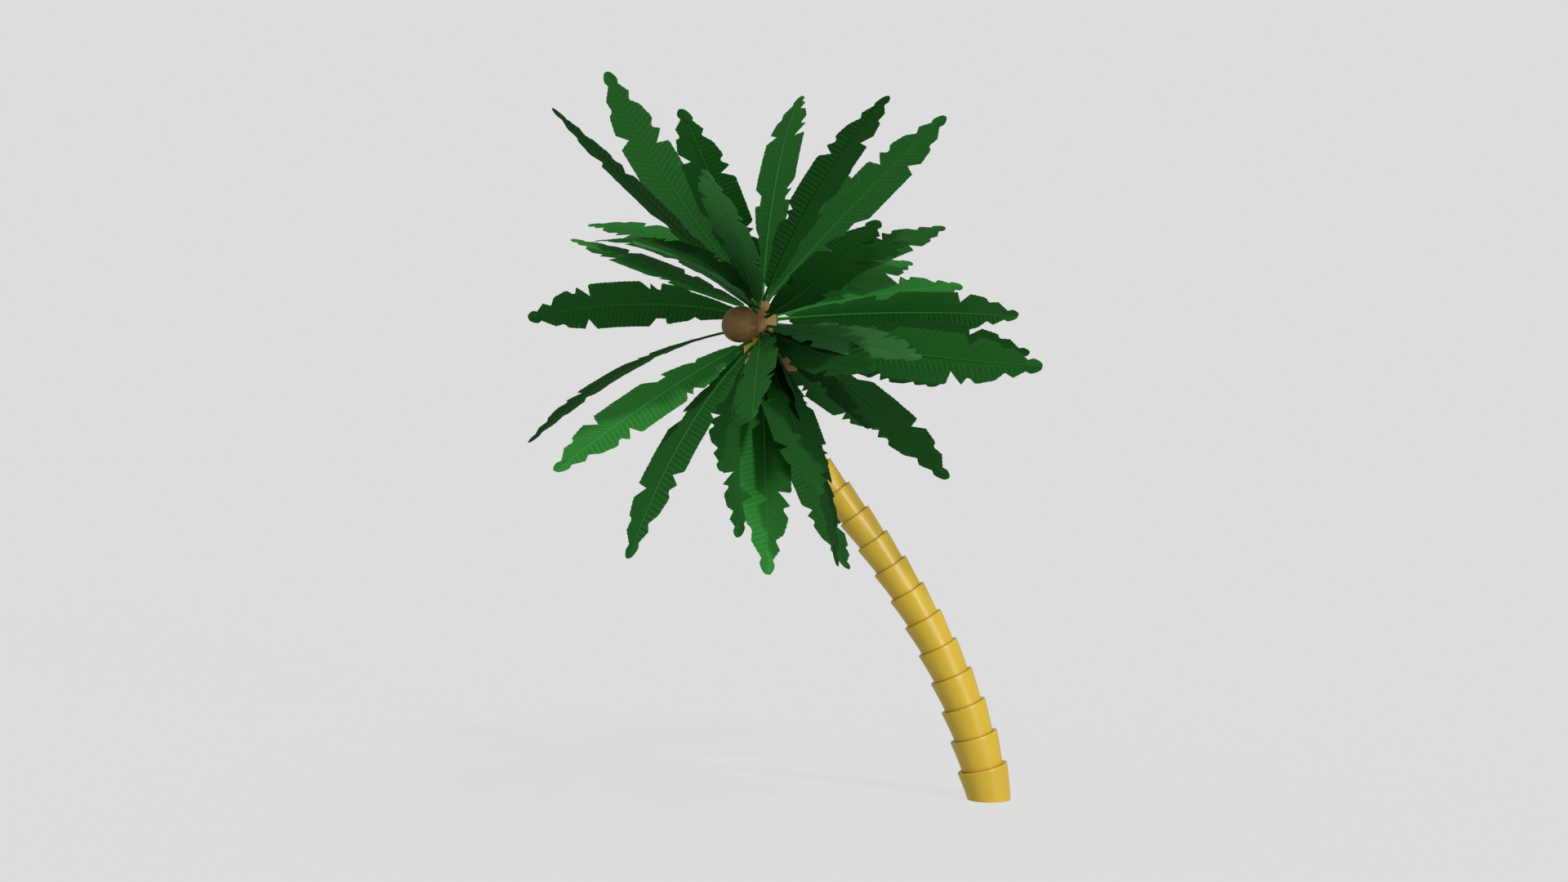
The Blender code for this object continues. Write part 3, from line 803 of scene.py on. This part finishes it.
def add_calyx(skin, nut):
    """Dry bracts over the stalk end: sheets that follow the husk, each with a round end."""
    start, outward, across, upward = nut_axes(nut)
    faces = sheet_faces(CALYX_ROWS, CALYX_COLUMNS)[:, ::-1]
    reach = np.radians(CALYX_REACH) * np.linspace(CALYX_START, 1.0, CALYX_ROWS)[:, None]
    side = np.linspace(-1.0, 1.0, CALYX_COLUMNS)
    width = np.pi / CALYX_LOBES * CALYX_OVERLAP
    turn = reach * (1.0 - CALYX_ROUNDING * (reach / reach.max()) * side ** 2)
    for lobe in range(CALYX_LOBES):
        angle = np.broadcast_to(2.0 * np.pi * lobe / CALYX_LOBES + width * side, turn.shape)
        distance, radius = husk_surface(turn, angle)
        round_way = np.cos(angle)[..., None] * upward + np.sin(angle)[..., None] * across
        grids = []
        for lift in (CALYX_LIFT + CALYX_THICKNESS, CALYX_LIFT):
            outer = distance - lift * np.cos(turn) + CALYX_STEP * lobe
            grids.append(start + outer[..., None] * outward
                         + (radius + lift * np.sin(turn))[..., None] * round_way)
        points = np.stack(grids)
        skin.add(points, faces, points - start, 1)


def build_coconuts(settings):
    """Each coconut with its husk and calyx, as a piece of its own."""
    husk, calyx = tuple(settings.husk), tuple(settings.calyx)
    finishes = [fibre_finish("coconut_husk", husk, HUSK_STREAKS, HUSK_ROUGHNESS),
                fibre_finish("coconut_calyx", calyx, CALYX_STREAKS, CALYX_ROUGHNESS)]
    for nut in COCONUTS:
        skin = Skin()
        add_husk(skin, nut)
        add_calyx(skin, nut)
        skin.make(nut.node + "_husk", finishes, "husk", [nut.node])


# Fronds

def rib_place(frond, root, share):
    """Points, forward, side and top directions at shares of the rib.

    The rib is a circular arc in an upright plane: the chord to a share is the arc's length
    times sine over angle of half the bend, and the blade is turned about it by the roll.
    """
    bend = (frond.sink - frond.lift) * share
    chord = RIB_LENGTH * share * np.sinc(0.5 * bend / 180.0)
    point = root + chord[..., None] * direction(frond.heading, frond.lift + 0.5 * bend)
    forward = direction(frond.heading, frond.lift + bend)
    level_side = direction(frond.heading - 90.0, 0.0)
    level_top = np.cross(level_side, forward)
    roll = np.radians(frond.roll)
    side = np.cos(roll) * level_side - np.sin(roll) * level_top
    return point, forward, side, np.cross(side, forward)


def rib_root(frond):
    """Where the rib starts: on the head's ellipsoid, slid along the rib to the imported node."""
    spread = ROOT_SPREAD_UP if frond.lift > 0.0 else ROOT_SPREAD_DOWN
    rise = np.clip(spread * frond.lift, LOWEST_ROOT, HIGHEST_ROOT)
    outward = direction(frond.heading, rise)
    root = head_middle() + outward * np.array([HEAD_RADIUS, HEAD_RADIUS, HEAD_HALF_HEIGHT])
    onward = direction(frond.heading, frond.lift)
    slide = ((node_points(frond.node) - root) @ onward).min()
    return root + slide * onward


def rib_size(share):
    """Half width and half thickness of the rib, falling evenly to its end."""
    width = STEM_WIDTH + (TIP_RIB_WIDTH - STEM_WIDTH) * share
    thickness = STEM_THICKNESS + (TIP_RIB_THICKNESS - STEM_THICKNESS) * share
    return 0.5 * width, 0.5 * thickness


def outline_length(frond, hand, share):
    """Leaflet length at shares of the rib, straight between the outline's points."""
    outline = FIRST_OUTLINE if hand == frond.hand else SECOND_OUTLINE
    return FULL_LEAFLET_LENGTH * np.interp(share, *np.array(outline).T)


def leaflet_end(frond, root, hand, share, length):
    """Ends of leaflets that lie in the blade and slant forward by the leaflet's slant."""
    point, forward, side, _ = rib_place(frond, root, share)
    slant = np.radians(LEAFLET_SLANT)
    way = np.sin(slant) * hand * side + np.cos(slant) * forward
    return point + (hand * rib_size(share)[0])[..., None] * side + length[..., None] * way


def limb_balls():
    """Middles and radii of balls that fill the trunk, the head and the coconuts."""
    along = np.linspace(0.0, TRUNK_LENGTH, TRUNK_BALLS)
    middles, radii = [axis_point(along)], [rim_radius(along)]
    for rise in (-HEAD_BALL_RISE, 0.0, HEAD_BALL_RISE):
        middles.append([head_middle() + rise * UP])
        radii.append([HEAD_RADIUS])
    for nut in COCONUTS:
        start, outward, _, _ = nut_axes(nut)
        middles.append([start + (NUT_STALK_LENGTH + NUT_HALF_LENGTH) * outward])
        radii.append([NUT_HALF_LENGTH])
    return np.concatenate(middles), np.concatenate(radii)


def rib_balls(frond, root):
    """Middles and radii of balls along a frond's rib."""
    share = np.linspace(0.0, 1.0, RIB_BALLS)
    return rib_place(frond, root, share)[0], rib_size(share)[0]


def free_share(base, end, middles, radii):
    """Share of each way from base to end that stays clear of all balls."""
    tries = np.arange(1, LENGTH_TRIES + 1) / LENGTH_TRIES
    places = base[:, None] + tries[:, None] * (end - base)[:, None]
    squares = ((places[:, :, None] - middles) ** 2).sum(-1)
    met = (squares < (radii + LIMB_MARGIN) ** 2).any(-1)
    first = np.where(met.any(1), met.argmax(1), LENGTH_TRIES)
    return first / LENGTH_TRIES


def leaflet_grids(frond, root, hand, settings, rng, balls):
    """Upper and lower grids of all leaflets on one side of a rib, and their grain.

    A leaflet's base lies on the rib between two stations, and its end follows the outline.
    Between them it runs straight, with its middle raised into a fold that fades at both
    ends, and it droops by the square of the way out.
    """
    count = settings.leaflets_a_side
    width = (1.0 - BARE_STEM_SHARE) / count
    column = np.array(LEAFLET_COLUMNS)
    low = BARE_STEM_SHARE + width * np.arange(count)[:, None]
    base_share = low + width * column
    end_share = low + width * (1.0 - LEAFLET_GAP_SHARE) * column
    length = outline_length(frond, hand, end_share)
    point, _, side, top = rib_place(frond, root, base_share)
    base = point + (TUCK_SHARE * hand * rib_size(base_share)[0])[..., None] * side
    end = leaflet_end(frond, root, hand, end_share, length)
    length *= free_share(base[:, 1], end[:, 1], *balls)[:, None]
    kept = length.min(1) > SHORTEST_LEAFLET
    length *= 1.0 - LENGTH_VARIATION * rng.random((count, 1))
    length[:, 1] += settings.point
    end = leaflet_end(frond, root, hand, end_share, length)
    out = np.array(LEAFLET_ROWS)[None, :, None]
    fold = settings.fold * np.array(FOLD_SHARES)[:, None] * np.array(FOLD_HEIGHTS)
    droop = DROOP_VARIATION * (2.0 * rng.random(count) - 1.0)
    rise = fold[None] + droop[:, None, None] * out ** 2
    top = top[:, None]
    grid = base[:, None] + out[..., None] * (end - base)[:, None] + rise[..., None] * top
    thin = 0.5 * LEAFLET_THICKNESS * top
    grain = np.stack(np.broadcast_arrays(
        (column * width * RIB_LENGTH)[None, None], out * length[:, None],
        (np.arange(count) + GRAIN_SPREAD * rng.random())[:, None, None]), -1)
    return np.stack([grid + thin, grid - thin], 1)[kept], grain[kept]


def first_tone(frond):
    """Number of the lit half's material for a frond's shade; the shaded half's is the next."""
    return len(TONES) * SHADE_NAMES.index(frond.shade)


def add_leaflets(skin, frond, root, settings, rng, balls):
    """Both rows of leaflets: each is a closed sheet whose two halves have a painted lit tone and
    a painted shaded tone.
    """
    rows, columns = len(LEAFLET_ROWS), len(LEAFLET_COLUMNS)
    one = sheet_faces(rows, columns)
    far_half = (one % columns).sum(1) > columns
    for hand in (-1, 1):
        grids, grain = leaflet_grids(frond, root, hand, settings, rng, balls)
        leaflets = len(grids)
        faces = one if hand < 0 else one[:, ::-1]
        start = 2 * rows * columns * np.arange(leaflets)[:, None, None]
        tones = np.tile(first_tone(frond) + far_half, leaflets)
        skin.add(grids, (faces + start).reshape(-1, 4), np.repeat(grain[:, None], 2, 1), tones)


def add_lobe(skin, frond, root):
    """The frond's end: a leaf straight ahead of the rib, with its half width and a fold."""
    point, forward, side, top = rib_place(frond, root, np.array(1.0))
    ahead, half_width = np.array(LOBE_OUTLINE).T
    column = np.array(LOBE_COLUMNS)
    fold = LOBE_FOLD * (0.5 - np.abs(column)) * (half_width / half_width.max())[:, None]
    grid = (point + ahead[:, None, None] * forward
            + (half_width[:, None] * column)[..., None] * side + fold[..., None] * top)
    thin = 0.5 * LEAFLET_THICKNESS * top
    rows, columns = len(ahead), len(column)
    faces = sheet_faces(rows, columns)
    grain = np.stack(np.broadcast_arrays(half_width[:, None] * column, ahead[:, None], 0.0), -1)
    # The lobe's two halves also take the painted lit and shaded tones
    tones = first_tone(frond) + (faces[:, 0] % columns >= columns // 2)
    skin.add(np.stack([grid + thin, grid - thin]), faces, np.stack([grain, grain]), tones)


def add_rib(skin, frond, root):
    """The rib: rings with a rounded section, a little wider where it leaves the head."""
    share = np.linspace(0.0, 1.0, RIB_ROWS) ** RIB_ROW_POWER
    point, _, side, top = rib_place(frond, root, share)
    half_width, half_thickness = rib_size(share)
    half_width = half_width * (1.0 + RIB_BASE_SWELL * np.exp(-share / RIB_BASE_LENGTH))
    turn = 2.0 * np.pi * np.arange(RIB_SIDES) / RIB_SIDES
    rings = (point[:, None] + (half_width[:, None] * np.cos(turn))[..., None] * side[:, None]
             + (half_thickness[:, None] * np.sin(turn))[..., None] * top[:, None])
    points = np.concatenate([rings.reshape(-1, 3), point[:1], point[-1:]])
    grain = np.stack(np.broadcast_arrays(
        RIB_GRAIN_RADIUS * np.cos(turn), RIB_LENGTH * share[:, None],
        RIB_GRAIN_RADIUS * np.sin(turn)), -1)
    grain = np.concatenate([grain.reshape(-1, 3), [[0.0, 0.0, 0.0]], [[0.0, RIB_LENGTH, 0.0]]])
    tone = SHADE_NAMES.index(frond.shade)
    skin.add_tube(points, RIB_ROWS, RIB_SIDES, grain, tone, inward=True)


def build_fronds(settings):
    """For each tier of the crown, one piece of leaflets and one of ribs."""
    rng = np.random.default_rng(SEED)
    leaves, ribs = leaf_finishes(settings), rib_finishes(settings)
    roots = {frond: rib_root(frond) for frond in FRONDS}
    limbs = limb_balls()
    for tier in TIERS:
        fronds = [frond for frond in FRONDS if frond.node.startswith(f"frond_{tier}_")]
        nodes = [frond.node for frond in fronds]
        leaflets, stems = Skin(), Skin()
        for frond in fronds:
            root = roots[frond]
            others = [rib_balls(item, roots[item]) for item in FRONDS if item != frond]
            balls = [np.concatenate(parts) for parts in zip(limbs, *others)]
            add_leaflets(leaflets, frond, root, settings, rng, balls)
            add_lobe(leaflets, frond, root)
            add_rib(stems, frond, root)
        leaflets.make(f"{tier}_leaflets", leaves, "leaf", nodes)
        stems.make(f"{tier}_ribs", ribs, "leaf", nodes)


# Stage

def build_floor(settings):
    """A wide level floor whose lit colour is the backdrop's, so that no edge shows."""
    signs = ((-1.0, -1.0), (1.0, -1.0), (1.0, 1.0), (-1.0, 1.0))
    corners = [(FLOOR_REACH * right, FLOOR_REACH * away, 0.0) for right, away in signs]
    mesh = bpy.data.meshes.new("floor")
    mesh.from_pydata(corners, [], [(0, 1, 2, 3)])
    material = bpy.data.materials.new("pale_floor")
    material.use_nodes = True
    shader = material.node_tree.nodes["Principled BSDF"]
    light = (settings.fill + settings.key / np.pi * np.sin(np.radians(settings.key_rise))
             + settings.soft / np.pi * np.sin(np.radians(settings.soft_rise)))
    shade = settings.shadow * settings.backdrop / light
    shader.inputs["Base Color"].default_value = (shade, shade, shade, 1.0)
    shader.inputs["Roughness"].default_value = 1.0
    shader.inputs["Specular IOR Level"].default_value = 0.0
    shader.inputs["Emission Color"].default_value = (1.0, 1.0, 1.0, 1.0)
    shader.inputs["Emission Strength"].default_value = (1.0 - settings.shadow) * settings.backdrop
    mesh.materials.append(material)
    floor = bpy.data.objects.new("floor", mesh)
    bpy.context.scene.collection.objects.link(floor)
    floor.visible_diffuse = False
    floor.visible_glossy = False


def add_lamp(name, strength, width, heading, rise):
    """A far lamp that looks as wide as the width in degrees, from a heading and a rise."""
    lamp = bpy.data.lights.new(name, "SUN")
    lamp.energy = strength
    lamp.angle = np.radians(width)
    item = bpy.data.objects.new(name, lamp)
    item.rotation_euler = (np.radians(90.0 - rise), 0.0, np.radians(heading))
    bpy.context.scene.collection.objects.link(item)


def build_light(settings):
    """A lamp from the upper right, a wide one lower down, and an even light from all sides."""
    add_lamp("key", settings.key, KEY_WIDTH, settings.key_heading, settings.key_rise)
    add_lamp("soft", settings.soft, SOFT_WIDTH, settings.soft_heading, settings.soft_rise)
    world = bpy.data.worlds.new("studio")
    world.use_nodes = True
    tree = world.node_tree
    sky = tree.nodes["Background"]
    sky.inputs["Color"].default_value = (1.0, 1.0, 1.0, 1.0)
    path = tree.nodes.new("ShaderNodeLightPath")
    spread = tree.nodes.new("ShaderNodeMapRange")
    spread.inputs["To Min"].default_value = settings.fill
    spread.inputs["To Max"].default_value = settings.backdrop
    tree.links.new(path.outputs["Is Camera Ray"], spread.inputs["Value"])
    tree.links.new(spread.outputs["Result"], sky.inputs["Strength"])
    bpy.context.scene.world = world


def build_camera(settings):
    """A level camera on the viewer's side."""
    lens = bpy.data.cameras.new("camera")
    lens.lens = settings.lens
    camera = bpy.data.objects.new("camera", lens)
    camera.location = (settings.camera_side, -settings.camera_distance, settings.camera_height)
    camera.rotation_euler = (0.5 * np.pi, 0.0, 0.0)
    bpy.context.scene.collection.objects.link(camera)
    bpy.context.scene.camera = camera


# Operators

class PALM_OT_trunk(bpy.types.Operator):
    """Build the bark of the trunk and the fibre of its head"""
    bl_idname = "palm.trunk"
    bl_label = "Trunk"

    def execute(self, context):
        build_trunk(context.scene.palm_trunk)
        build_head(context.scene.palm_trunk)
        return {"FINISHED"}


class PALM_OT_coconuts(bpy.types.Operator):
    """Build the coconuts"""
    bl_idname = "palm.coconuts"
    bl_label = "Coconuts"

    def execute(self, context):
        build_coconuts(context.scene.palm_coconuts)
        return {"FINISHED"}


class PALM_OT_fronds(bpy.types.Operator):
    """Build the ribs and leaflets of all fronds"""
    bl_idname = "palm.fronds"
    bl_label = "Fronds"

    def execute(self, context):
        build_fronds(context.scene.palm_fronds)
        return {"FINISHED"}


class PALM_OT_stage(bpy.types.Operator):
    """Set the floor, the light and the camera"""
    bl_idname = "palm.stage"
    bl_label = "Stage"

    def execute(self, context):
        settings = context.scene.palm_stage
        build_floor(settings)
        build_light(settings)
        build_camera(settings)
        context.scene.view_settings.view_transform = "Standard"
        return {"FINISHED"}


class PALM_PT_palm(bpy.types.Panel):
    """Sizes, colours and the pieces of the palm"""
    bl_idname = "PALM_PT_palm"
    bl_label = "Young coconut palm"
    bl_space_type = "VIEW_3D"
    bl_region_type = "UI"
    bl_category = "Palm"

    def draw(self, context):
        for operator, settings in PANEL_ROWS:
            box = self.layout.box()
            group = getattr(context.scene, settings)
            for name in group.__annotations__:
                box.prop(group, name)
            box.operator(operator)


PANEL_ROWS = (
    ("palm.trunk", "palm_trunk"),
    ("palm.coconuts", "palm_coconuts"),
    ("palm.fronds", "palm_fronds"),
    ("palm.stage", "palm_stage"),
)
SETTINGS = (
    ("palm_trunk", TrunkSettings),
    ("palm_coconuts", CoconutSettings),
    ("palm_fronds", FrondSettings),
    ("palm_stage", StageSettings),
)
BUTTONS_AND_PANEL = (PALM_OT_trunk, PALM_OT_coconuts, PALM_OT_fronds, PALM_OT_stage,
                     PALM_PT_palm)


def register():
    """Add the settings, the operators and the panel."""
    for name, group in SETTINGS:
        bpy.utils.register_class(group)
        setattr(bpy.types.Scene, name, bpy.props.PointerProperty(type=group))
    for item in BUTTONS_AND_PANEL:
        bpy.utils.register_class(item)


def unregister():
    """Take them away again, in the opposite order."""
    for item in reversed(BUTTONS_AND_PANEL):
        bpy.utils.unregister_class(item)
    for name, group in reversed(SETTINGS):
        delattr(bpy.types.Scene, name)
        bpy.utils.unregister_class(group)


def main():
    """Build every piece and the stage."""
    register()
    bpy.ops.palm.trunk()
    bpy.ops.palm.coconuts()
    bpy.ops.palm.fronds()
    bpy.ops.palm.stage()


if __name__ == "__main__":
    main()
